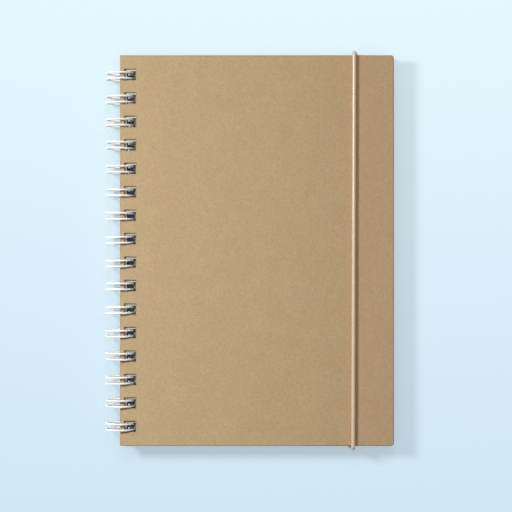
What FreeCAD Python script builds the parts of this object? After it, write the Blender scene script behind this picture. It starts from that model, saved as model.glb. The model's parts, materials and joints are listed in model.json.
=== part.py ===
import FreeCAD, Part
import math
import os

# A5 notebook with board covers, bound by a row of twin wire loops, held shut by a round elastic cord.
# It lies closed on its back cover: +Y runs along the spine, +X from spine to fore-edge, +Z is up.
# The origin is the middle of the footprint, at table height. Millimetres and degrees.

# Covers
cover_width = 148.2
cover_length = 211.5
cover_thickness = 1.5
cover_corner_radius = 1.6

# Page block: how far it lies inside the covers, and how it has slid along the spine
page_stack_thickness = 8.3
page_spine_setback = 2.1
page_fore_inset = 2.0
page_end_inset = 1.8
page_slide = -0.8
page_corner_radius = 1.2
page_clearance = 0.1

# Wire binding: closed wire loops in pairs, joined by straight runs along the seam, as many pairs
# as fit between the ends of the covers
loop_pitch = 12.7
loop_end_margin = 9.0
loop_pair_spacing = 3.2
loop_slide = -0.35
wire_diameter = 1.05
ring_room = 3.0
seam_bend_radius = 1.2
seam_clearance = 0.15
tip_gap = 0.4
spine_gap = 0.15
cut_end_length = 1.0

# Punched holes, the same in covers and pages
hole_margin = 2.45
hole_side_play = 0.78
hole_far_play = 1.36

# Hollow under the last pages, over the seam of the binding
relief_flat_past_hole = 0.6
relief_ramp_length = 9.0

# Elastic cord, and the metal end pieces that hold it inside the back cover
elastic_diameter = 2.3
elastic_clearance = 0.1
elastic_fore_edge_distance = 21.8
elastic_front_slant = 0.6
elastic_top_swerve = 2.2
elastic_bottom_swerve = 1.4
elastic_hole_distance = 15.0
elastic_hole_play = 0.35
barb_length = 12.0
barb_width = 3.4
barb_thickness = 1.0
barb_pocket_play = 0.5

# Sizes that follow from those above
wire_radius = wire_diameter / 2
elastic_radius = elastic_diameter / 2
stack_thickness = 2 * cover_thickness + 2 * page_clearance + page_stack_thickness
ring_inner_radius = (stack_thickness + ring_room) / 2
ring_radius = ring_inner_radius + wire_radius
ring_outer_radius = ring_inner_radius + wire_diameter
overall_width = ring_outer_radius + spine_gap + cover_width

# Heights, from the table up
ring_z = ring_outer_radius
back_cover_z = elastic_diameter + elastic_clearance
back_inner_z = back_cover_z + cover_thickness
page_z = back_inner_z + page_clearance
page_top_z = page_z + page_stack_thickness
front_cover_z = page_top_z + page_clearance
front_outer_z = front_cover_z + cover_thickness
seam_z = back_inner_z + seam_clearance + wire_radius
relief_z = seam_z + wire_radius + seam_clearance

# Places along the notebook
loop_count = int((cover_length - 2 * loop_end_margin) / loop_pitch) + 1
elastic_hole_y = cover_length / 2 - elastic_hole_distance

# Places across the notebook
ring_x = ring_outer_radius - overall_width / 2
spine_x = ring_x + spine_gap
fore_x = spine_x + cover_width
page_spine_x = spine_x + page_spine_setback
page_fore_x = fore_x - page_fore_inset
elastic_x = fore_x - elastic_fore_edge_distance
elastic_top_x = elastic_x + elastic_top_swerve
elastic_bottom_x = elastic_x - elastic_bottom_swerve

# The back cover's two holes for the elastic cord
elastic_holes = [(elastic_bottom_x, -elastic_hole_y), (elastic_top_x, elastic_hole_y)]

# Holes: wide enough for the pair of wires, and long enough for the loop's reach at the covers
hole_length = loop_pair_spacing + wire_diameter + 2 * hole_side_play
ring_rise_at_cover = min(ring_z - back_inner_z, front_cover_z - ring_z)
ring_reach_at_cover = math.sqrt(ring_outer_radius ** 2 - ring_rise_at_cover ** 2)
hole_width = ring_reach_at_cover - spine_gap + hole_far_play - hole_margin


def hole_centres():
    """Places of the holes along the spine, from the bottom edge up."""
    first = -(loop_count - 1) * loop_pitch / 2
    return [first + loop_pitch * number for number in range(loop_count)]


def rounded_plate(x_spine, x_fore, y_bottom, y_top, z_low, thickness, radius):
    """A flat plate with square corners at the spine and round ones at the fore-edge."""
    plate = Part.makeBox(
        x_fore - x_spine, y_top - y_bottom, thickness, FreeCAD.Vector(x_spine, y_bottom, z_low)
    )
    corners = [
        edge
        for edge in plate.Edges
        if all(abs(vertex.X - x_fore) < radius / 2 for vertex in edge.Vertexes)
        and abs(edge.Vertexes[0].Z - edge.Vertexes[1].Z) > thickness / 2
    ]
    return plate.makeFillet(radius, corners)


def punch_holes(sheet, x_spine, slide, z_low, thickness):
    """Cut the row of square binding holes through a sheet or a stack of them."""
    cutters = [
        Part.makeBox(
            hole_width,
            hole_length,
            3 * thickness,
            FreeCAD.Vector(x_spine + hole_margin, y + slide - hole_length / 2, z_low - thickness),
        )
        for y in hole_centres()
    ]
    return sheet.cut(Part.makeCompound(cutters))


def line(start, end):
    return Part.LineSegment(start, end).toShape()


def arc(start, middle, end):
    return Part.Arc(start, middle, end).toShape()


def rod(edges, radius):
    """A round rod along lines and arcs that meet tangentially, closed by two flat ends."""
    first = edges[0]
    disc = Part.Face(
        Part.Wire(
            Part.makeCircle(
                radius, first.valueAt(first.FirstParameter), first.tangentAt(first.FirstParameter)
            )
        )
    )
    faces = [disc]
    for edge in edges:
        next_disc = disc.copy()
        if isinstance(edge.Curve, Part.Circle):
            turn = math.degrees(edge.LastParameter - edge.FirstParameter)
            swept = disc.revolve(edge.Curve.Center, edge.Curve.Axis, turn)
            next_disc.rotate(edge.Curve.Center, edge.Curve.Axis, turn)
        else:
            run = edge.valueAt(edge.LastParameter) - edge.valueAt(edge.FirstParameter)
            swept = disc.extrude(run)
            next_disc.translate(run)
        faces += [face for face in swept.Faces if not isinstance(face.Surface, Part.Plane)]
        disc = next_disc
    faces.append(disc)
    skin = Part.makeCompound(faces)
    skin.sewShape()
    solid = Part.Solid(skin.Shells[0])
    if solid.Volume < 0:
        solid.reverse()
    return solid


def ring_point(angle, y, onward=0.0):
    """A point on a loop's centre line, or that far straight on from it."""
    radial = FreeCAD.Vector(math.cos(angle), 0, math.sin(angle))
    along = FreeCAD.Vector(-math.sin(angle), 0, math.cos(angle))
    centre = FreeCAD.Vector(ring_x, y, ring_z)
    return centre + radial * ring_radius + along * onward


def loop_pair(y, bend_angle, tip_angle):
    """One pair of loops: from the seam round to the tip, across it and back to the seam.

    Angles are measured about the ring's axis from +X up, and each leg runs the long way round
    through the back cover, past the spine and down through the front cover and the pages.
    """
    half = loop_pair_spacing / 2
    long_way = (bend_angle + tip_angle) / 2 - math.pi
    return [
        arc(
            ring_point(bend_angle, y - half),
            ring_point(long_way, y - half),
            ring_point(tip_angle, y - half),
        ),
        arc(
            ring_point(tip_angle, y - half),
            ring_point(tip_angle, y, onward=-half),
            ring_point(tip_angle, y + half),
        ),
        arc(
            ring_point(tip_angle, y + half),
            ring_point(long_way, y + half),
            ring_point(bend_angle, y + half),
        ),
    ]


def seam_bend(y_leg, side, bend_angle):
    """The bend from a leg at y_leg into the seam, which leaves towards -Y or +Y by its side."""
    short = seam_bend_radius * (1 - math.sqrt(0.5))
    long = seam_bend_radius * math.sqrt(0.5)
    return [
        ring_point(bend_angle, y_leg),
        ring_point(bend_angle, y_leg + side * short, onward=long),
        ring_point(bend_angle, y_leg + side * seam_bend_radius, onward=seam_bend_radius),
    ]


def make_wire_binding():
    """One coated wire, bent into every pair of loops in turn, its seam inside the back cover."""
    half = loop_pair_spacing / 2
    seam_angle = math.asin((seam_z - ring_z) / math.hypot(ring_radius, seam_bend_radius))
    bend_angle = seam_angle - math.atan2(seam_bend_radius, ring_radius)
    tip_angle = seam_angle + (wire_diameter + tip_gap + half) / ring_radius
    seam_run = loop_pitch - loop_pair_spacing - 2 * seam_bend_radius
    centres = [y + loop_slide for y in hole_centres()]
    first_bend = seam_bend(centres[0] - half, -1, bend_angle)
    edges = [line(first_bend[-1] - FreeCAD.Vector(0, cut_end_length, 0), first_bend[-1])]
    for y in centres:
        edges.append(arc(*reversed(seam_bend(y - half, -1, bend_angle))))
        edges += loop_pair(y, bend_angle, tip_angle)
        last_bend = seam_bend(y + half, 1, bend_angle)
        edges.append(arc(*last_bend))
        run = cut_end_length if y == centres[-1] else seam_run
        edges.append(line(last_bend[-1], last_bend[-1] + FreeCAD.Vector(0, run, 0)))
    return rod(edges, wire_radius)


def make_cover(z_low):
    """One board cover with its row of binding holes."""
    plate = rounded_plate(
        spine_x,
        fore_x,
        -cover_length / 2,
        cover_length / 2,
        z_low,
        cover_thickness,
        cover_corner_radius,
    )
    return punch_holes(plate, spine_x, 0, z_low, cover_thickness)


def make_back_cover():
    """The back cover, with a round hole for each end of the elastic cord."""
    plate = make_cover(back_cover_z)
    for x, y in elastic_holes:
        hole = Part.makeCylinder(
            elastic_radius + elastic_hole_play,
            3 * cover_thickness,
            FreeCAD.Vector(x, y, back_cover_z - cover_thickness),
        )
        plate = plate.cut(hole)
    return plate


def make_page_block():
    """All the sheets as one stack, hollowed where the last ones lie over the seam and the barbs."""
    length = cover_length - 2 * page_end_inset
    block = rounded_plate(
        page_spine_x,
        page_fore_x,
        page_slide - length / 2,
        page_slide + length / 2,
        page_z,
        page_stack_thickness,
        page_corner_radius,
    )
    flat_end = page_spine_x + hole_margin + hole_width + relief_flat_past_hole
    below = page_z - cover_thickness
    before = page_spine_x - cover_thickness
    outline = Part.makePolygon(
        [
            FreeCAD.Vector(before, -cover_length / 2, below),
            FreeCAD.Vector(before, -cover_length / 2, relief_z),
            FreeCAD.Vector(flat_end, -cover_length / 2, relief_z),
            FreeCAD.Vector(flat_end + relief_ramp_length, -cover_length / 2, page_z),
            FreeCAD.Vector(flat_end + relief_ramp_length, -cover_length / 2, below),
            FreeCAD.Vector(before, -cover_length / 2, below),
        ]
    )
    relief = Part.Face(outline).extrude(FreeCAD.Vector(0, cover_length, 0))
    block = block.cut(relief)
    for x, y in elastic_holes:
        pocket = barb_bar(x, y, barb_pocket_play, back_inner_z)
        block = block.cut(pocket)
    return punch_holes(block, page_spine_x, page_slide, page_z, page_stack_thickness)


def rounded_path(corners, radius):
    """Lines through the corners, each corner turned by an arc of the given radius."""
    edges = []
    start = corners[0]
    for number in range(1, len(corners) - 1):
        corner = corners[number]
        toward = (corner - corners[number - 1]).normalize()
        away = (corners[number + 1] - corner).normalize()
        turn = toward.getAngle(away)
        cut = radius * math.tan(turn / 2)
        arc_start = corner - toward * cut
        arc_end = corner + away * cut
        inward = (away - toward).normalize()
        arc_middle = corner + inward * (radius / math.cos(turn / 2) - radius)
        edges.append(line(start, arc_start))
        edges.append(arc(arc_start, arc_middle, arc_end))
        start = arc_end
    edges.append(line(start, corners[-1]))
    return edges


def make_elastic_cord():
    """The cord, from its hole near one edge of the back cover, over the front, to the other hole."""
    bend = elastic_radius + elastic_clearance
    beyond = cover_length / 2 + bend
    z_back = back_cover_z - bend
    z_front = front_outer_z + bend
    corners = [
        FreeCAD.Vector(elastic_bottom_x, -elastic_hole_y, back_inner_z),
        FreeCAD.Vector(elastic_bottom_x, -elastic_hole_y, z_back),
        FreeCAD.Vector(elastic_bottom_x, -beyond, z_back),
        FreeCAD.Vector(elastic_x - elastic_front_slant / 2, -beyond, z_front),
        FreeCAD.Vector(elastic_x + elastic_front_slant / 2, beyond, z_front),
        FreeCAD.Vector(elastic_top_x, beyond, z_back),
        FreeCAD.Vector(elastic_top_x, elastic_hole_y, z_back),
        FreeCAD.Vector(elastic_top_x, elastic_hole_y, back_inner_z),
    ]
    return rod(rounded_path(corners, bend), elastic_radius)


def barb_bar(x, y, play, z_low):
    """A flat bar with round ends across the cord's hole, grown by the given play."""
    half_width = barb_width / 2 + play
    half_run = (barb_length - barb_width) / 2
    height = barb_thickness + play
    bar = Part.makeBox(
        2 * half_run, 2 * half_width, height, FreeCAD.Vector(x - half_run, y - half_width, z_low)
    )
    ends = [
        Part.makeCylinder(half_width, height, FreeCAD.Vector(x + side * half_run, y, z_low))
        for side in (-1, 1)
    ]
    return bar.fuse(ends).removeSplitter()


os.makedirs("parts", exist_ok=True)
nodes = {
    "front_cover": make_cover(front_cover_z),
    "back_cover": make_back_cover(),
    "page_block": make_page_block(),
    "wire_binding": make_wire_binding(),
    "elastic_cord": make_elastic_cord(),
}
for name, (x, y) in zip(("elastic_barb_bottom", "elastic_barb_top"), elastic_holes):
    nodes[name] = barb_bar(x, y, 0, back_inner_z)
for name, shape in nodes.items():
    shape.exportStep(f"parts/{name}.step")
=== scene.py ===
import bpy
import bmesh
import json
import math
import random
import numpy as np
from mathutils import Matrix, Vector


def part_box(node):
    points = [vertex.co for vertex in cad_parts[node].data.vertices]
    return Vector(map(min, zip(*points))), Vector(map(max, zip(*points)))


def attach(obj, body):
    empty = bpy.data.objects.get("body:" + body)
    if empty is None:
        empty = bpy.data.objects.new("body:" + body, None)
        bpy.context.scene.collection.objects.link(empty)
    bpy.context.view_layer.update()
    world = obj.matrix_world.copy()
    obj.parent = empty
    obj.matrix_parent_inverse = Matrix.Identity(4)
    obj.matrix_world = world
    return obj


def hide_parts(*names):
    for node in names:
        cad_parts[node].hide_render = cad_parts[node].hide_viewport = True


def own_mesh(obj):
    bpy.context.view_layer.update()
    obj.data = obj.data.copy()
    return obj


# A kraft-board notebook with a white twin-loop wire binding and an elastic cord, lying closed.
# Everything is in metres, in the notebook's own frame: +X to the fore-edge, +Y to the head, +Z up.

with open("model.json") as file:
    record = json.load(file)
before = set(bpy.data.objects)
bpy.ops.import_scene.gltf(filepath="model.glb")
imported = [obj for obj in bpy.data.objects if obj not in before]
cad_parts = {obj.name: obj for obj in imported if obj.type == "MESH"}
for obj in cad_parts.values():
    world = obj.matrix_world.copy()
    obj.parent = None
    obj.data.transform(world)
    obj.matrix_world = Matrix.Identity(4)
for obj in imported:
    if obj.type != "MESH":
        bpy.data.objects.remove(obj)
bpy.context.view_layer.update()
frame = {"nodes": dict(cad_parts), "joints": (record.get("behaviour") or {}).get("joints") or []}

MM = 0.001
SEED = 11

# Places read from the construction. The rings stand on the table, so their outer radius is the
# height of their axis.
cover_low, cover_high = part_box("front_cover")
back_low, back_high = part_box("back_cover")
page_low, page_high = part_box("page_block")
ring_centre = Vector(frame["joints"][0]["pos_m"])
ring_outer_radius = ring_centre.z
middle = (cover_low + cover_high) / 2

# Binding, as in the construction
LOOP_PITCH = 12.7 * MM
LOOP_END_MARGIN = 9.0 * MM
PAIR_SPACING = 3.2 * MM
LOOP_SLIDE = -0.35 * MM
WIRE_DIAMETER = 1.05 * MM
SEAM_BEND = 1.2 * MM
SEAM_CLEARANCE = 0.15 * MM
TIP_GAP = 0.4 * MM
CUT_END = 1.0 * MM
loop_count = int((cover_high.y - cover_low.y - 2 * LOOP_END_MARGIN) / LOOP_PITCH) + 1

# Square holes in covers and pages, as in the construction
HOLE_MARGIN = 2.45 * MM
HOLE_WIDTH = 5.98 * MM
HOLE_SIDE_PLAY = 0.78 * MM
HOLE_LENGTH = PAIR_SPACING + WIRE_DIAMETER + 2 * HOLE_SIDE_PLAY

# Elastic cord, as in the construction: where it runs, and its two holes in the back cover
ELASTIC_DIAMETER = 2.3 * MM
ELASTIC_CLEARANCE = 0.1 * MM
ELASTIC_FORE_EDGE = 21.8 * MM
ELASTIC_FRONT_SLANT = 0.6 * MM
ELASTIC_TOP_SWERVE = 2.2 * MM
ELASTIC_BOTTOM_SWERVE = 1.4 * MM
ELASTIC_HOLE = 15.0 * MM
ELASTIC_HOLE_PLAY = 0.35 * MM
elastic_middle = cover_high.x - ELASTIC_FORE_EDGE
elastic_ends = [
    (elastic_middle - ELASTIC_BOTTOM_SWERVE, cover_low.y + ELASTIC_HOLE),
    (elastic_middle + ELASTIC_TOP_SWERVE, cover_high.y - ELASTIC_HOLE),
]


def hole_rows(slide=0.0):
    """Middles of the binding holes along the spine."""
    return [(k - (loop_count - 1) / 2) * LOOP_PITCH + slide for k in range(loop_count)]


# Mesh helpers

PLATE_EDGE_STEPS = 3
WELD_DISTANCE = 0.001 * MM
SHARP_ANGLE = math.radians(50)

# A tube's rounded ends, in shares of its radius, and a direction that no tube starts along
TUBE_END_RADIUS = 0.72
TUBE_END_BULGE = 0.22
OFF_AXIS = (0.3, 0.5, 0.8)


def add_object(name, data):
    """An object in the scene with this mesh, curve, light or camera."""
    thing = bpy.data.objects.new(name, data)
    bpy.context.scene.collection.objects.link(thing)
    return thing


def make_mesh(name, verts, faces, body, smooth=True):
    """A mesh piece that rides on a body."""
    mesh = bpy.data.meshes.new(name)
    mesh.from_pydata([tuple(v) for v in verts], [], [tuple(f) for f in faces])
    mesh.validate()
    mesh.polygons.foreach_set("use_smooth", [smooth] * len(mesh.polygons))
    piece = add_object(name, mesh)
    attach(piece, body)
    return piece


def arc(x, y, radius, start, turn, steps):
    """Points of an arc about (x, y), with its angles in degrees."""
    angles = [math.radians(start + turn * k / steps) for k in range(steps + 1)]
    return [(x + radius * math.cos(a), y + radius * math.sin(a)) for a in angles]


def plate_mesh(name, loops, z_low, z_high, rounding):
    """A plate's mesh, from an outline and holes that a curve fills and gives rounded edges."""
    curve = bpy.data.curves.new(name, "CURVE")
    curve.dimensions = "2D"
    curve.fill_mode = "BOTH"
    curve.extrude = (z_high - z_low) / 2 - rounding
    curve.bevel_depth = rounding
    curve.bevel_resolution = PLATE_EDGE_STEPS
    curve.offset = -rounding
    for loop in loops:
        spline = curve.splines.new("POLY")
        spline.points.add(len(loop) - 1)
        for point, (x, y) in zip(spline.points, loop):
            point.co = (x, y, 0, 1)
        spline.use_cyclic_u = True
    filled = add_object(name, curve)
    bpy.context.view_layer.update()
    mesh = bpy.data.meshes.new_from_object(filled.evaluated_get(bpy.context.evaluated_depsgraph_get()))
    bpy.data.objects.remove(filled)
    work = bmesh.new()
    work.from_mesh(mesh)
    bmesh.ops.remove_doubles(work, verts=work.verts, dist=WELD_DISTANCE)
    bmesh.ops.translate(work, verts=work.verts, vec=(0, 0, (z_low + z_high) / 2))
    work.to_mesh(mesh)
    work.free()
    return mesh


def make_plate(name, loops, z_low, z_high, rounding, body):
    """A flat plate with its outline and holes given as loops of points, and rounded edges."""
    mesh = plate_mesh(name, loops, z_low, z_high, rounding)
    mesh.polygons.foreach_set("use_smooth", [True] * len(mesh.polygons))
    mesh.set_sharp_from_angle(angle=SHARP_ANGLE)
    plate = add_object(name, mesh)
    normals = plate.modifiers.new("normals", "WEIGHTED_NORMAL")
    normals.keep_sharp = True
    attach(plate, body)
    return plate


def tube_end(ring, centre, outward, radius):
    """The narrower ring of points that gives a tube's end a rounded edge."""
    return centre + (ring - centre) * TUBE_END_RADIUS + outward * radius * TUBE_END_BULGE


def tube(name, points, radius, sides, body, relief=None):
    """A round tube along points, with round-edged ends. relief moves the skin by turn and run."""
    pts = np.array(points)
    steps = np.linalg.norm(np.diff(pts, axis=0), axis=1)
    run = np.concatenate([[0.0], np.cumsum(steps)])
    tangents = np.gradient(pts, run, axis=0)
    tangents /= np.linalg.norm(tangents, axis=1)[:, None]
    turns = np.arange(sides) * 2 * math.pi / sides
    side = np.cross(tangents[0], OFF_AXIS)
    rings = []
    for place, tangent, along in zip(pts, tangents, run):
        side = side - tangent * np.dot(side, tangent)
        side /= np.linalg.norm(side)
        up = np.cross(tangent, side)
        reach = np.full(sides, radius)
        if relief is not None:
            reach = reach + relief(turns, along)
        spokes = np.outer(np.cos(turns), side) + np.outer(np.sin(turns), up)
        rings.append(place + reach[:, None] * spokes)
    first = tube_end(rings[0], pts[0], -tangents[0], radius)
    last = tube_end(rings[-1], pts[-1], tangents[-1], radius)
    verts = np.concatenate([first, *rings, last])
    faces = []
    for low in range(0, len(verts) - sides, sides):
        high = low + sides
        for s in range(sides):
            n = (s + 1) % sides
            faces.append((low + s, low + n, high + n, high + s))
    faces.append(tuple(reversed(range(sides))))
    faces.append(tuple(range(len(verts) - sides, len(verts))))
    return make_mesh(name, verts, faces, body)


class MeshParts:
    """Vertices that are named by a key and placed by a function of it, and faces that use them."""

    def __init__(self, place):
        self.place = place
        self.keys, self.verts, self.faces = {}, [], []

    def vertex(self, *key):
        """The number of the vertex with this key, which is placed when it is first asked for."""
        if key not in self.keys:
            self.keys[key] = len(self.verts)
            self.verts.append(self.place(*key))
        return self.keys[key]


# Material helpers


def shade(r, g, b):
    """A linear colour, opaque."""
    return (r, g, b, 1.0)


class Nodes:
    """A node tree, with short calls that add and link nodes."""

    def __init__(self, tree):
        self.tree = tree

    def add(self, kind, inputs=None, **settings):
        """A new node, its settings made before its inputs are filled."""
        node = self.tree.nodes.new(kind)
        for key, value in settings.items():
            setattr(node, key, value)
        for key, value in (inputs or {}).items():
            self.put(node.inputs[key], value)
        return node

    def put(self, socket, value):
        """Link another node's output to a socket, or set the socket to a value."""
        if isinstance(value, bpy.types.NodeSocket):
            self.tree.links.new(value, socket)
        else:
            socket.default_value = value

    def math(self, operation, first, second):
        """One operation on two numbers."""
        node = self.add("ShaderNodeMath", operation=operation)
        self.put(node.inputs[0], first)
        self.put(node.inputs[1], second)
        return node.outputs["Value"]

    def vectors(self, operation, first, second):
        """The outputs of one operation on two vectors."""
        node = self.add("ShaderNodeVectorMath", operation=operation)
        self.put(node.inputs[0], first)
        self.put(node.inputs[1], second)
        return node.outputs

    def length(self, vector):
        """A vector's length."""
        return self.add("ShaderNodeVectorMath", {"Vector": vector}, operation="LENGTH").outputs["Value"]

    def times(self, vector, factor):
        """A vector or colour times a number."""
        node = self.add("ShaderNodeVectorMath", {"Scale": factor}, operation="SCALE")
        self.put(node.inputs[0], vector)
        return node.outputs["Vector"]

    def spread(self, value, low, high, to_low=0.0, to_high=1.0):
        """Value from low to high, spread smoothly over to_low to to_high."""
        return self.add(
            "ShaderNodeMapRange",
            {"Value": value, "From Min": low, "From Max": high, "To Min": to_low, "To Max": to_high},
            interpolation_type="SMOOTHSTEP",
        ).outputs["Result"]

    def mix(self, share, first, second, blend="MIX"):
        """Two colours mixed by a share, or blended in another way by that share."""
        node = self.add("ShaderNodeMix", data_type="RGBA", blend_type=blend)
        self.put(node.inputs["Factor"], share)
        self.put(node.inputs["A"], first)
        self.put(node.inputs["B"], second)
        return node.outputs["Result"]

    def choose(self, share, first, second):
        """Two shaders mixed."""
        node = self.add("ShaderNodeMixShader")
        self.put(node.inputs[0], share)
        self.put(node.inputs[1], first)
        self.put(node.inputs[2], second)
        return node.outputs["Shader"]

    def seen(self):
        """1 for the camera's own rays and those that it gets by a mirror or glass, else 0."""
        rays = self.add("ShaderNodeLightPath").outputs
        mirrored = self.math("MAXIMUM", rays["Is Camera Ray"], rays["Is Glossy Ray"])
        return self.math("MAXIMUM", mirrored, rays["Is Transmission Ray"])


class Surface(Nodes):
    """A material's node tree, with the patterns that its colours and reliefs are made of."""

    def __init__(self, name):
        self.material = bpy.data.materials.new(name)
        self.material.use_nodes = True
        super().__init__(self.material.node_tree)
        self.shader = self.tree.nodes["Principled BSDF"]
        self.place = self.add("ShaderNodeTexCoord").outputs["Object"]

    def scaled(self, scale, turn=(0.0, 0.0, 0.0)):
        """Object coordinates turned, then multiplied by scale: one number, or one for each axis."""
        factors = scale if isinstance(scale, tuple) else (scale, scale, scale)
        turned = self.add(
            "ShaderNodeMapping", {"Vector": self.place, "Rotation": turn}, vector_type="POINT"
        )
        return self.add(
            "ShaderNodeMapping",
            {"Vector": turned.outputs["Vector"], "Scale": factors},
            vector_type="POINT",
        ).outputs["Vector"]

    def noise(self, scale, detail=3.0, roughness=0.55, distortion=0.0, turn=(0.0, 0.0, 0.0)):
        """Soft noise from 0 to 1, with its scale in cycles per metre."""
        return self.add(
            "ShaderNodeTexNoise",
            {
                "Vector": self.scaled(scale, turn),
                "Scale": 1.0,
                "Detail": detail,
                "Roughness": roughness,
                "Distortion": distortion,
            },
        ).outputs["Fac"]

    def bump(self, height, distance, strength):
        """Normals of a relief: its height at 1 in metres, and how strongly it shows."""
        inputs = {"Height": height, "Distance": distance, "Strength": strength}
        return self.add("ShaderNodeBump", inputs).outputs["Normal"]

    def finish(self, color, roughness, normal=None, **fixed):
        """Fill the shader's sockets, fixed ones by name, and give the material."""
        self.put(self.shader.inputs["Base Color"], color)
        self.put(self.shader.inputs["Roughness"], roughness)
        if normal is not None:
            self.put(self.shader.inputs["Normal"], normal)
        for key, value in fixed.items():
            self.shader.inputs[key.replace("_", " ")].default_value = value
        return self.material


# Materials

# Where along X the painted shade on the cover starts, and where it is full, near the fore-edge
PAINTED_SHADE_START = 30 * MM
PAINTED_SHADE_FULL = 55 * MM


def kraft_board():
    """Unbleached board: matted fibres in several directions, soft blotches, a few dark flecks, and
    painted shade near the fore-edge.
    """
    n = Surface("kraft_board")
    blotch = n.noise(90, detail=4.0, roughness=0.6)
    hue = n.noise(130, detail=2.0, turn=(0.4, 0.2, 0.9))
    grain = n.noise(1400, detail=4.0, roughness=0.65)
    color = n.mix(n.spread(blotch, 0.3, 0.7), shade(0.505, 0.362, 0.204), shade(0.530, 0.384, 0.219))
    color = n.mix(n.spread(grain, 0.3, 0.6), shade(0.445, 0.312, 0.172), color)
    color = n.mix(n.spread(grain, 0.5, 0.9), color, shade(0.575, 0.428, 0.262))
    tint = n.mix(n.spread(hue, 0.35, 0.65), shade(1.0, 1.005, 0.955), shade(1.0, 0.985, 1.01))
    color = n.mix(1.0, color, tint, "MULTIPLY")
    across = n.add("ShaderNodeSeparateXYZ", {"Vector": n.place}).outputs["X"]
    # Painted shade: towards the fore-edge the board turns slightly darker and redder, in place of the
    # light falling off there.
    fore_edge_painted_shade = n.mix(1.0, color, shade(1.0, 0.95, 0.985), "MULTIPLY")
    color = n.mix(n.spread(across, PAINTED_SHADE_START, PAINTED_SHADE_FULL), color, fore_edge_painted_shade)
    relief = n.math("MULTIPLY", grain, 0.5)
    pale, dark = shade(0.60, 0.455, 0.275), shade(0.40, 0.275, 0.145)
    for turn, tone in ((0.2, pale), (0.95, dark), (1.75, pale), (2.5, dark)):
        turned = (0.0, 0.0, turn)
        strands = n.noise((330, 4200, 2500), detail=2.0, roughness=0.5, distortion=0.7, turn=turned)
        fibre = n.spread(strands, 0.60, 0.70)
        color = n.mix(n.math("MULTIPLY", fibre, 0.39), color, tone)
        relief = n.math("ADD", relief, n.math("MULTIPLY", fibre, 0.3))
    spots = n.add("ShaderNodeTexVoronoi", {"Vector": n.scaled(240), "Scale": 1.0}, distance="EUCLIDEAN")
    spot = n.spread(spots.outputs["Distance"], 0.10, 0.05)
    rare = n.spread(n.noise(60), 0.52, 0.62)
    fleck = n.math("MULTIPLY", n.math("MULTIPLY", spot, rare), 0.45)
    color = n.mix(fleck, color, shade(0.24, 0.15, 0.08))
    rough = n.spread(grain, 0.2, 0.8, 0.72, 0.86)
    return n.finish(color, rough, n.bump(relief, 0.06 * MM, 0.5), Specular_IOR_Level=0.2)


def board_edge():
    """The cut edge of the board: pressed layers, darker and rougher than its face."""
    n = Surface("board_edge")
    layers = n.noise((60, 60, 9000), detail=3.0, roughness=0.6, distortion=0.25)
    fuzz = n.noise(2600, detail=4.0)
    color = n.mix(n.spread(layers, 0.3, 0.7), shade(0.29, 0.203, 0.118), shade(0.44, 0.325, 0.205))
    color = n.mix(n.spread(fuzz, 0.4, 0.8, 0.0, 0.5), color, shade(0.52, 0.395, 0.26))
    relief = n.math("ADD", n.math("MULTIPLY", layers, 0.7), n.math("MULTIPLY", fuzz, 0.4))
    return n.finish(color, 0.9, n.bump(relief, 0.1 * MM, 0.8), Specular_IOR_Level=0.2)


def page_face():
    """Uncoated off-white paper with a faint cloudy formation."""
    n = Surface("page_face")
    cloud = n.noise(700, detail=5.0, roughness=0.6)
    tooth = n.noise(5200, detail=2.0)
    color = n.mix(n.spread(cloud, 0.3, 0.7), shade(0.70, 0.665, 0.585), shade(0.76, 0.725, 0.645))
    return n.finish(color, 0.88, n.bump(tooth, 0.02 * MM, 0.4), Specular_IOR_Level=0.3)


def page_edge():
    """The stacked edges of the sheets: fine uneven lines, with painted shade darker where they part."""
    n = Surface("page_edge")
    lines = n.noise((14, 14, 7600), detail=2.0, roughness=0.6, distortion=0.15)
    long_tone = n.noise((40, 40, 900), detail=3.0)
    color = n.mix(n.spread(lines, 0.32, 0.68), shade(0.69, 0.635, 0.545), shade(0.88, 0.83, 0.745))
    color = n.mix(n.spread(long_tone, 0.35, 0.75, 0.0, 0.35), color, shade(0.75, 0.695, 0.60))
    return n.finish(color, 0.92, n.bump(lines, 0.05 * MM, 0.7), Specular_IOR_Level=0.2)


def painted_shade_wall():
    """The walls of the punched holes: the sheets' cut edges, painted nearly black as the shade deep in
    the holes.
    """
    n = Surface("painted_shade_wall")
    lines = n.noise((14, 14, 7600), detail=2.0, roughness=0.6)
    color = n.mix(n.spread(lines, 0.32, 0.68), shade(0.04, 0.036, 0.032), shade(0.10, 0.092, 0.082))
    return n.finish(color, 0.95, n.bump(lines, 0.05 * MM, 0.7), Specular_IOR_Level=0.1)


def coated_wire():
    """White nylon coating on steel wire: slightly waxy, with faint clouds and fine pits."""
    n = Surface("coated_wire")
    cloud = n.noise(500, detail=3.0)
    pits = n.noise(3800, detail=2.0)
    color = n.mix(n.spread(cloud, 0.3, 0.7), shade(0.90, 0.895, 0.895), shade(0.94, 0.935, 0.935))
    return n.finish(
        color,
        n.spread(cloud, 0.3, 0.7, 0.30, 0.42),
        n.bump(pits, 0.02 * MM, 0.35),
        Coat_Weight=0.25,
        Coat_Roughness=0.2,
        Subsurface_Weight=0.7,
        Subsurface_Radius=(1.0, 1.0, 1.0),
        Subsurface_Scale=1 * MM,
    )


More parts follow.
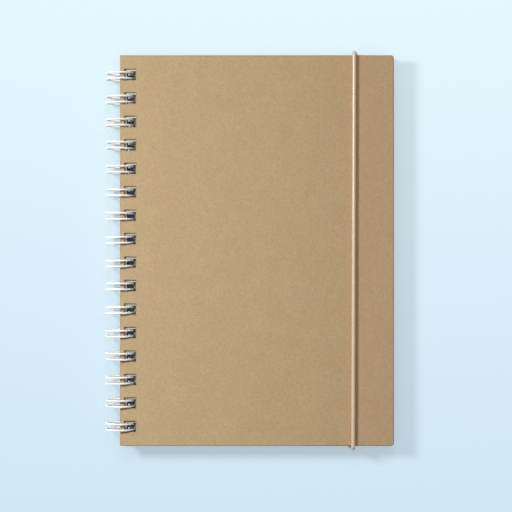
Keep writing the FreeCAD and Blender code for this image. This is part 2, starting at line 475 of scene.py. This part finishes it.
def elastic_braid():
    """Fine textile yarns over rubber: each strand a little lighter or darker, with loose fibres."""
    n = Surface("elastic_braid")
    strands = n.noise(900, detail=2.0)
    yarns = n.noise(5200, detail=3.0, roughness=0.7)
    color = n.mix(n.spread(strands, 0.3, 0.7), shade(0.62, 0.42, 0.262), shade(0.71, 0.492, 0.318))
    color = n.mix(n.spread(yarns, 0.35, 0.75, 0.0, 0.5), color, shade(0.84, 0.64, 0.45))
    return n.finish(
        color,
        0.34,
        n.bump(yarns, 0.03 * MM, 0.4),
        Specular_IOR_Level=1.0,
        Coat_Weight=0.3,
        Coat_Roughness=0.3,
    )


def barb_metal():
    """Stamped plated steel: drawn streaks along the bar and dull handling marks."""
    n = Surface("barb_metal")
    streaks = n.noise((260, 5200, 3000), detail=3.0)
    marks = n.noise(900, detail=4.0)
    color = n.mix(n.spread(streaks, 0.3, 0.7), shade(0.52, 0.50, 0.46), shade(0.68, 0.66, 0.62))
    rough = n.spread(marks, 0.3, 0.7, 0.26, 0.48)
    return n.finish(color, rough, n.bump(streaks, 0.02 * MM, 0.5), Metallic=0.9)


KRAFT = kraft_board()
BOARD_EDGE = board_edge()
PAGE_FACE = page_face()
PAGE_EDGE = page_edge()
PAINTED_SHADE_WALL = painted_shade_wall()
WIRE = coated_wire()
ELASTIC = elastic_braid()
BARB = barb_metal()


# Covers

COVER_CORNER = 1.6 * MM
COVER_CORNER_STEPS = 10
EDGE_ROUNDING = 0.55 * MM
ROUND_HOLE_STEPS = 40
FLAT_NORMAL = 0.99


def square_hole(x, y):
    """A binding hole's outline, from its spine side and its middle along the spine."""
    far = x + HOLE_WIDTH
    return [
        (x, y - HOLE_LENGTH / 2),
        (far, y - HOLE_LENGTH / 2),
        (far, y + HOLE_LENGTH / 2),
        (x, y + HOLE_LENGTH / 2),
    ]


def round_hole(x, y):
    """The outline of a hole for the elastic cord."""
    return arc(x, y, ELASTIC_DIAMETER / 2 + ELASTIC_HOLE_PLAY, 0, 360, ROUND_HOLE_STEPS)[:-1]


def make_cover(name, low, high, body, node, elastic_holes=()):
    """A board cover with its binding holes, and the elastic's round holes if it has any."""
    corner_x = high.x - COVER_CORNER
    outline = [(low.x, low.y)]
    outline += arc(corner_x, low.y + COVER_CORNER, COVER_CORNER, -90, 90, COVER_CORNER_STEPS)
    outline += arc(corner_x, high.y - COVER_CORNER, COVER_CORNER, 0, 90, COVER_CORNER_STEPS)
    outline.append((low.x, high.y))
    holes = [square_hole(low.x + HOLE_MARGIN, y) for y in hole_rows()]
    holes += [round_hole(x, y) for x, y in elastic_holes]
    cover = make_plate(name, [outline, *holes], low.z, high.z, EDGE_ROUNDING, body)
    cover.data.materials.append(KRAFT)
    cover.data.materials.append(BOARD_EDGE)
    for face in cover.data.polygons:
        face.material_index = 0 if abs(face.normal.z) > FLAT_NORMAL else 1
    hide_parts(node)


make_cover("front_board", cover_low, cover_high, "front_cover", "front_cover")
make_cover("back_board", back_low, back_high, "back_cover", "back_cover", elastic_ends)


# Page block

PAGE_CORNER = 1.2 * MM
PAGE_CORNER_STEPS = 6
PAGE_SLIDE = -0.8 * MM
SHEET_THICKNESS = 0.1 * MM
SHEET_SHIFT = 0.07 * MM
MOST_SHEET_SHIFT = 2 * SHEET_SHIFT
SHEET_SKEW = 0.0002
SHEET_HOLE_EASE = 0.9 * MM
SHEET_CELL = 4 * MM
RELIEF_FLAT_PAST_HOLE = 0.6 * MM
RELIEF_RAMP = 9.0 * MM

page_hole_start = page_low.x + HOLE_MARGIN - SHEET_HOLE_EASE
page_hole_end = page_low.x + HOLE_MARGIN + HOLE_WIDTH
relief_height = back_high.z + WIRE_DIAMETER + 2 * SEAM_CLEARANCE - page_low.z


def stations(start, end, step, between):
    """Values from start to end about a step apart, through every given value between them."""
    fixed = sorted({start, end, *[v for v in between if start < v < end]})
    values = []
    for low, high in zip(fixed, fixed[1:]):
        count = max(1, round((high - low) / step))
        values += [low + (high - low) * i / count for i in range(count)]
    return values + [end]


class SheetGrid:
    """A sheet's outline as a grid of cells, less its square holes, with round fore-edge corners."""

    def __init__(self, low, high):
        self.corner_start = high.x - PAGE_CORNER
        self.rows = hole_rows(PAGE_SLIDE)
        turns = [math.pi / 2 * k / PAGE_CORNER_STEPS for k in range(PAGE_CORNER_STEPS)]
        corner_xs = [high.x - PAGE_CORNER * (1 - math.sin(turn)) for turn in turns]
        self.xs = stations(low.x, high.x, SHEET_CELL, [page_hole_start, page_hole_end, *corner_xs])
        # The outermost rows of cells are deeper than the round corners, which only bend their rim.
        depth = 1.5 * PAGE_CORNER
        hole_ys = [y + side * HOLE_LENGTH / 2 for y in self.rows for side in (-1, 1)]
        self.ys = stations(low.y, high.y, SHEET_CELL, [*hole_ys, low.y + depth, high.y - depth])
        self.last_i, self.last_j = len(self.xs) - 1, len(self.ys) - 1
        self.solid = np.array(
            [[self.is_solid(i, j) for j in range(self.last_j)] for i in range(self.last_i)]
        )

    def is_solid(self, i, j):
        """Whether a cell is paper and not part of a hole."""
        x = (self.xs[i] + self.xs[i + 1]) / 2
        y = (self.ys[j] + self.ys[j + 1]) / 2
        in_row = any(abs(y - row) < HOLE_LENGTH / 2 for row in self.rows)
        return not (in_row and page_hole_start < x < page_hole_end)

    def point(self, i, j):
        """Place of a grid corner, moved in where the sheet's own corner is round."""
        x, y = self.xs[i], self.ys[j]
        past = x - self.corner_start
        if past > 0 and j in (0, self.last_j):
            pulled = PAGE_CORNER - math.sqrt(max(0.0, PAGE_CORNER ** 2 - past ** 2))
            y += pulled if j == 0 else -pulled
        return x, y

    def cells(self):
        """The cells that are paper."""
        for i, j in np.argwhere(self.solid):
            yield int(i), int(j)

    def rim(self):
        """Edges between a solid cell and none, each turned so that the sheet is on its left."""
        for i, j in self.cells():
            if j == 0 or not self.solid[i, j - 1]:
                yield (i, j), (i + 1, j)
            if i == self.last_i - 1 or not self.solid[i + 1, j]:
                yield (i + 1, j), (i + 1, j + 1)
            if j == self.last_j - 1 or not self.solid[i, j + 1]:
                yield (i + 1, j + 1), (i, j + 1)
            if i == 0 or not self.solid[i - 1, j]:
                yield (i, j + 1), (i, j)

    def is_outer(self, a, b):
        """Whether an edge of the rim lies on the sheet's outline and not in a hole."""
        on_row = a[1] == b[1] and a[1] in (0, self.last_j)
        on_column = a[0] == b[0] and a[0] in (0, self.last_i)
        return on_row or on_column


def sheet_shifts(count):
    """How far each sheet is out of line: across, along and as a slope."""
    chance = random.Random(SEED)
    shifts = []
    for _ in range(count):
        across = chance.gauss(0, SHEET_SHIFT)
        along = chance.gauss(0, SHEET_SHIFT)
        skew = chance.gauss(0, SHEET_SKEW)
        shifts.append((max(-MOST_SHEET_SHIFT, min(MOST_SHEET_SHIFT, across)), along, skew))
    return shifts


def pages_bottom(x):
    """Height of the last sheet's underside, which rises smoothly over the seam at the spine."""
    past_flat = x - page_hole_end - RELIEF_FLAT_PAST_HOLE
    lift = min(1.0, max(0.0, 1 - past_flat / RELIEF_RAMP))
    return page_low.z + relief_height * (3 - 2 * lift) * lift * lift


def make_page_block():
    """The sheets, one by one at the edges, the last ones bent over the seam of the binding."""
    grid = SheetGrid(page_low, page_high)
    count = round((page_high.z - page_low.z) / SHEET_THICKNESS)
    shifts = sheet_shifts(count)

    def place(corner, sheet, level):
        """Place of a grid corner on a sheet's underside, level 0, or on its top, level 1."""
        x, y = grid.point(*corner)
        z_low = pages_bottom(x)
        share = (sheet + level) / count
        across, along, skew = shifts[sheet]
        return x + across - skew * y, y + along, z_low + (page_high.z - z_low) * share

    parts = MeshParts(place)
    levels = [(sheet, level) for sheet in range(count) for level in (0, 1)]
    for i, j in grid.cells():
        ring = [(i, j), (i + 1, j), (i + 1, j + 1), (i, j + 1)]
        top = [parts.vertex(corner, *levels[-1]) for corner in ring]
        bottom = [parts.vertex(corner, *levels[0]) for corner in ring]
        parts.faces += [top, bottom[::-1]]
    flat_slots = [0] * len(parts.faces)
    rim = list(grid.rim())
    for below, above in zip(levels, levels[1:]):
        for a, b in rim:
            corners = ((a, below), (b, below), (b, above), (a, above))
            parts.faces.append([parts.vertex(corner, *level) for corner, level in corners])
    # Rim faces inside the holes get the hole walls' painted shade.
    rim_slots = [1 if grid.is_outer(a, b) else 2 for a, b in rim] * (len(levels) - 1)
    pages = make_mesh("sheets", parts.verts, parts.faces, "bound_pages", smooth=False)
    for material in (PAGE_FACE, PAGE_EDGE, PAINTED_SHADE_WALL):
        pages.data.materials.append(material)
    pages.data.polygons.foreach_set("material_index", flat_slots + rim_slots)
    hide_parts("page_block")


make_page_block()


# Wire binding

WIRE_SIDES = 14
LEG_STEPS = 64
TIP_STEPS = 12
SEAM_BEND_STEPS = 6
PAIR_LEAN = 0.45 * MM
LEG_LEAN = 0.16 * MM


def wire_path():
    """The wire's centre line: round every pair of loops, with a bent seam run between the pairs.

    Angles are measured about the rings' axis from +X up, and each leg runs the long way round, from
    the seam inside the back cover, past the spine and down through the front cover to its tip.
    """
    radius = ring_outer_radius - WIRE_DIAMETER / 2
    half = PAIR_SPACING / 2
    seam_z = back_high.z + SEAM_CLEARANCE + WIRE_DIAMETER / 2
    seam_angle = math.asin((seam_z - ring_centre.z) / math.hypot(radius, SEAM_BEND))
    bend_angle = seam_angle - math.atan2(SEAM_BEND, radius)
    tip_angle = seam_angle + (WIRE_DIAMETER + TIP_GAP + half) / radius - 2 * math.pi

    def on_ring(angle, y, onward=0.0):
        """A point on a loop's centre line, or that far straight on from it."""
        x = math.cos(angle) * radius - math.sin(angle) * onward
        z = math.sin(angle) * radius + math.cos(angle) * onward
        return (ring_centre.x + x, y, ring_centre.z + z)

    def leg(y, lean, shares):
        """One leg, which leans along the spine most where it stands out past the covers."""
        for share in shares:
            angle = bend_angle + (tip_angle - bend_angle) * share
            yield on_ring(angle, y + lean * math.sin(math.pi * share) ** 2)

    def tip(y):
        """The half turn from one leg's end to the other's."""
        for k in range(1, TIP_STEPS):
            turn = k / TIP_STEPS * math.pi
            yield on_ring(tip_angle, y - half * math.cos(turn), -half * math.sin(turn))

    def seam_bend(y, side, turns):
        """The bend between a leg at y and the seam, which leaves towards -Y or +Y by its side."""
        for turn in turns:
            inset = SEAM_BEND * (1 - math.cos(turn))
            yield on_ring(bend_angle, y + side * inset, SEAM_BEND * math.sin(turn))

    chance = random.Random(SEED)
    rows = hole_rows(LOOP_SLIDE)
    shares = [k / LEG_STEPS for k in range(LEG_STEPS + 1)]
    turns = [k / SEAM_BEND_STEPS * math.pi / 2 for k in range(1, SEAM_BEND_STEPS + 1)]
    first_y = rows[0] - half - SEAM_BEND
    points = [on_ring(bend_angle, first_y - CUT_END * share, SEAM_BEND) for share in (1, 0.5)]
    for y in rows:
        lean = chance.uniform(-PAIR_LEAN, PAIR_LEAN)
        first_lean = lean + chance.uniform(-LEG_LEAN, LEG_LEAN)
        second_lean = lean + chance.uniform(-LEG_LEAN, LEG_LEAN)
        points += seam_bend(y - half, -1, turns[::-1])
        points += leg(y - half, first_lean, shares)
        points += tip(y)
        points += leg(y + half, second_lean, shares[::-1])
        points += seam_bend(y + half, 1, turns)
    x, last_y, z = points[-1]
    points.append((x, last_y + CUT_END, z))
    return points


def make_binding():
    """The binding, one coated wire from end to end."""
    binding = tube("binding_wire", wire_path(), WIRE_DIAMETER / 2, WIRE_SIDES, "bound_pages")
    binding.data.materials.append(WIRE)
    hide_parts("wire_binding")


make_binding()


# Elastic cord and its end barbs

CORD_SIDES = 36
BRAID_STRANDS = 6
BRAID_PITCH = 1.5 * MM
BRAID_DEPTH = 0.11 * MM
BRAID_STEP = 0.2 * MM
STRAND_FULLNESS = 0.7
STRAND_SWELL = 0.45
FEWEST_RUN_STEPS = 2
FEWEST_TURN_STEPS = 4
BARB_ROUNDING = 0.2 * MM
BARB_ROUNDING_STEPS = 2


def rounded_run(corners, radius, step):
    """Points along straight runs, with each corner turned on the given radius."""
    corners = [Vector(corner) for corner in corners]
    points = []
    start = corners[0]
    for before, corner, after in zip(corners, corners[1:], corners[2:]):
        toward = (corner - before).normalized()
        away = (after - corner).normalized()
        turn = toward.angle(away)
        cut = radius * math.tan(turn / 2)
        arc_start = corner - toward * cut
        centre = arc_start + (away - toward * math.cos(turn)).normalized() * radius
        spoke = arc_start - centre
        count = max(FEWEST_RUN_STEPS, round((arc_start - start).length / step))
        points += [start.lerp(arc_start, k / count) for k in range(count)]
        count = max(FEWEST_TURN_STEPS, round(radius * turn / step))
        for angle in [turn * k / count for k in range(count)]:
            points.append(centre + spoke * math.cos(angle) + toward * radius * math.sin(angle))
        start = corner + away * cut
    end = corners[-1]
    count = max(FEWEST_RUN_STEPS, round((end - start).length / step))
    return points + [start.lerp(end, k / count) for k in range(count + 1)]


def braid(turns, run):
    """Over-and-under relief of two crossing sets of strands."""
    right = BRAID_STRANDS * turns / (2 * math.pi) + run / BRAID_PITCH
    left = BRAID_STRANDS * turns / (2 * math.pi) - run / BRAID_PITCH
    over = (np.floor(right) + np.floor(left)) % 2 < 1
    across = np.where(over, right, left) % 1
    along = np.where(over, left, right) % 1
    swell = 1 - STRAND_SWELL + STRAND_SWELL * np.sin(math.pi * along)
    return BRAID_DEPTH * (np.sin(math.pi * across) ** STRAND_FULLNESS * swell - 1)


def make_elastic():
    """The cord, from its hole near the foot, over the front cover, to its hole near the head."""
    bend = ELASTIC_DIAMETER / 2 + ELASTIC_CLEARANCE
    beyond = cover_high.y + bend
    z_back = back_low.z - bend
    z_front = cover_high.z + bend
    (x_low, y_low), (x_high, y_high) = elastic_ends
    corners = [
        (x_low, y_low, back_high.z),
        (x_low, y_low, z_back),
        (x_low, -beyond, z_back),
        (elastic_middle - ELASTIC_FRONT_SLANT / 2, -beyond, z_front),
        (elastic_middle + ELASTIC_FRONT_SLANT / 2, beyond, z_front),
        (x_high, beyond, z_back),
        (x_high, y_high, z_back),
        (x_high, y_high, back_high.z),
    ]
    points = rounded_run(corners, bend, BRAID_STEP)
    cord = tube("elastic", points, ELASTIC_DIAMETER / 2, CORD_SIDES, "back_cover", relief=braid)
    cord.data.materials.append(ELASTIC)
    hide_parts("elastic_cord")
    # Slipped off the pages, the cord lies along the back cover once that is open.
    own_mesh(cord)


def dress_barb(barb):
    """Plated steel and rounded edges for one of the construction's own barbs."""
    barb.data.materials.clear()
    barb.data.materials.append(BARB)
    bevel = barb.modifiers.new("edges", "BEVEL")
    bevel.width = BARB_ROUNDING
    bevel.segments = BARB_ROUNDING_STEPS


make_elastic()
for node in ("elastic_barb_bottom", "elastic_barb_top"):
    dress_barb(frame["nodes"][node])


# Lights. Each lamp stands in a direction from the middle of the cover, and the key light is aimed
# at a place beside the notebook, as far from the middle as its aim says.

KEY_TOWARD = (-0.65, 0.26, 0.74)
KEY_DISTANCE = 0.7
KEY_AIM = (-0.2, -0.6, 0.0)
KEY_SIZE = 0.18
KEY_POWER = 5.1
KEY_COLOR = (0.97, 1.0, 1.0)
TOP_TOWARD = (0.0, 0.6, 1.0)
TOP_DISTANCE = 1.2
TOP_SIZE = 0.5
TOP_POWER = 3.4
TOP_COLOR = (1.0, 1.0, 1.0)
SKY_STRENGTH = 0.19
SKY_COLOR = shade(1.0, 0.97, 0.94)
BACKDROP_COLOR = shade(0.74, 0.89, 0.97)

key_place = middle + Vector(KEY_TOWARD).normalized() * KEY_DISTANCE
key_axis = (middle + Vector(KEY_AIM) - key_place).normalized()
top_place = middle + Vector(TOP_TOWARD).normalized() * TOP_DISTANCE


def area_light(name, place, axis, size, power, color):
    """A round lamp that shines along an axis."""
    data = bpy.data.lights.new(name, "AREA")
    data.shape = "DISK"
    data.size = size
    data.energy = power
    data.color = color
    light = add_object(name, data)
    light.location = place
    light.rotation_euler = (-axis).to_track_quat("Z", "Y").to_euler()


def make_lights():
    """A key light from the upper left, and a softer one from over the head of the notebook."""
    area_light("key", key_place, key_axis, KEY_SIZE, KEY_POWER, KEY_COLOR)
    area_light("top", top_place, middle - top_place, TOP_SIZE, TOP_POWER, TOP_COLOR)


def make_world():
    """Faint even light from all round, with a pale backdrop in its place for what the camera sees."""
    world = bpy.data.worlds.new("world")
    world.use_nodes = True
    n = Nodes(world.node_tree)
    sky = n.tree.nodes["Background"]
    n.put(sky.inputs["Color"], SKY_COLOR)
    n.put(sky.inputs["Strength"], SKY_STRENGTH)
    backdrop = n.add("ShaderNodeBackground", {"Color": BACKDROP_COLOR})
    chosen = n.choose(n.seen(), sky.outputs["Background"], backdrop.outputs["Background"])
    n.put(n.tree.nodes["World Output"].inputs["Surface"], chosen)
    bpy.context.scene.world = world


# Floor

FLOOR_RADIUS = 6.0
FLOOR_SIDES = 96
FLOOR_FOOT_COLOR = shade(0.657, 0.817, 0.933)
FLOOR_HEAD_COLOR = shade(0.775, 0.935, 1.0)
FLOOR_TINT_REACH = 0.14
FLOOR_BOUNCE_COLOR = shade(0.90, 0.915, 0.93)
FLOOR_ROUGHNESS = 0.9

# Shade on the floor, by how much of the sky is open to it within this reach. From the first share
# to the second it goes from black to none under the notebook, and from a little to none beside it.
SHADE_REACH = 0.014
SHADE_SAMPLES = 8
UNDER_OPEN = (0.15, 0.45)
BESIDE_OPEN = (0.4, 1.0)
BESIDE_SHADE = 0.93

# The key light's share in the light on the floor, and the share of the floor's look that glows:
# this much within the near distance from the origin, and all of it past the far one
KEY_SHARE = 0.6
FLOOR_GLOW = 0.62
GLOW_NEAR = 0.2
GLOW_FAR = 0.5


def key_level(n):
    """How strong the key light is at each place, next to its strength in the middle of the cover.

    It goes with the cosines at the lamp and at the floor over the square of the distance, which is
    the way along the lamp's axis over the fourth power of the distance, times a fixed height.
    """
    ray = n.vectors("SUBTRACT", n.place, tuple(key_place))["Vector"]
    along = n.vectors("DOT_PRODUCT", ray, tuple(key_axis))["Value"]
    level = n.math("DIVIDE", along, n.math("POWER", n.length(ray), 4.0))
    at_middle = (middle - key_place).dot(key_axis) / KEY_DISTANCE ** 4
    return n.math("DIVIDE", level, at_middle)


def floor_color(n):
    """Pale blue, a little lighter towards the head, and dark where the notebook shuts out the sky."""
    height = n.add("ShaderNodeSeparateXYZ", {"Vector": n.place}).outputs["Y"]
    ends = {"Value": height, "From Min": -FLOOR_TINT_REACH, "From Max": FLOOR_TINT_REACH}
    share = n.add("ShaderNodeMapRange", ends).outputs["Result"]
    tint = n.mix(share, FLOOR_FOOT_COLOR, FLOOR_HEAD_COLOR)
    reach = {"Distance": SHADE_REACH}
    open_sky = n.add("ShaderNodeAmbientOcclusion", reach, samples=SHADE_SAMPLES).outputs["AO"]
    under = n.spread(open_sky, *UNDER_OPEN)
    beside = n.spread(open_sky, *BESIDE_OPEN, BESIDE_SHADE, 1.0)
    return n.times(tint, n.math("MULTIPLY", under, beside))


def make_floor():
    """A plain pale blue surface.

    What the camera sees of it is evened out for the key light's falloff, and partly glows, so that
    the object's shadow stays as light as on white paper.
    """
    bpy.ops.mesh.primitive_circle_add(vertices=FLOOR_SIDES, radius=FLOOR_RADIUS, fill_type="NGON")
    floor = bpy.context.object
    floor.name = "floor"
    n = Surface("floor")
    color = floor_color(n)
    level = n.math("ADD", n.math("MULTIPLY", key_level(n), KEY_SHARE), 1.0 - KEY_SHARE)
    evened = n.times(color, n.math("DIVIDE", 1.0, level))
    n.finish(evened, FLOOR_ROUGHNESS, Specular_IOR_Level=0.0)
    glow = n.add("ShaderNodeEmission", {"Color": color, "Strength": 1.0}).outputs["Emission"]
    glow_share = n.spread(n.length(n.place), GLOW_NEAR, GLOW_FAR, FLOOR_GLOW, 1.0)
    look = n.choose(glow_share, n.shader.outputs["BSDF"], glow)
    bounce = n.add("ShaderNodeBsdfDiffuse", {"Color": FLOOR_BOUNCE_COLOR}).outputs["BSDF"]
    n.put(n.tree.nodes["Material Output"].inputs["Surface"], n.choose(n.seen(), bounce, look))
    floor.data.materials.append(n.material)


# Camera, from the photograph: a square picture of this many pixels, in which the loops have this
# pitch and the middle of the cover is here. The height above the cover only sets the perspective.

FRAME_PX = 512
PITCH_PX = 23.47
COVER_CENTRE_PX = (256.95, 250.6)
CAMERA_HEIGHT = 0.9


def make_camera():
    """Straight above, placed so that the cover falls on the photograph's pixels."""
    scale = LOOP_PITCH / PITCH_PX
    right = (COVER_CENTRE_PX[0] - FRAME_PX / 2) * scale
    down = (COVER_CENTRE_PX[1] - FRAME_PX / 2) * scale
    data = bpy.data.cameras.new("camera")
    data.lens = data.sensor_width * CAMERA_HEIGHT / (FRAME_PX * scale)
    camera = add_object("camera", data)
    camera.location = (middle.x - right, middle.y + down, cover_high.z + CAMERA_HEIGHT)
    bpy.context.scene.camera = camera


make_floor()
make_lights()
make_world()
make_camera()

scene_settings = bpy.context.scene.view_settings
scene_settings.view_transform = "Standard"
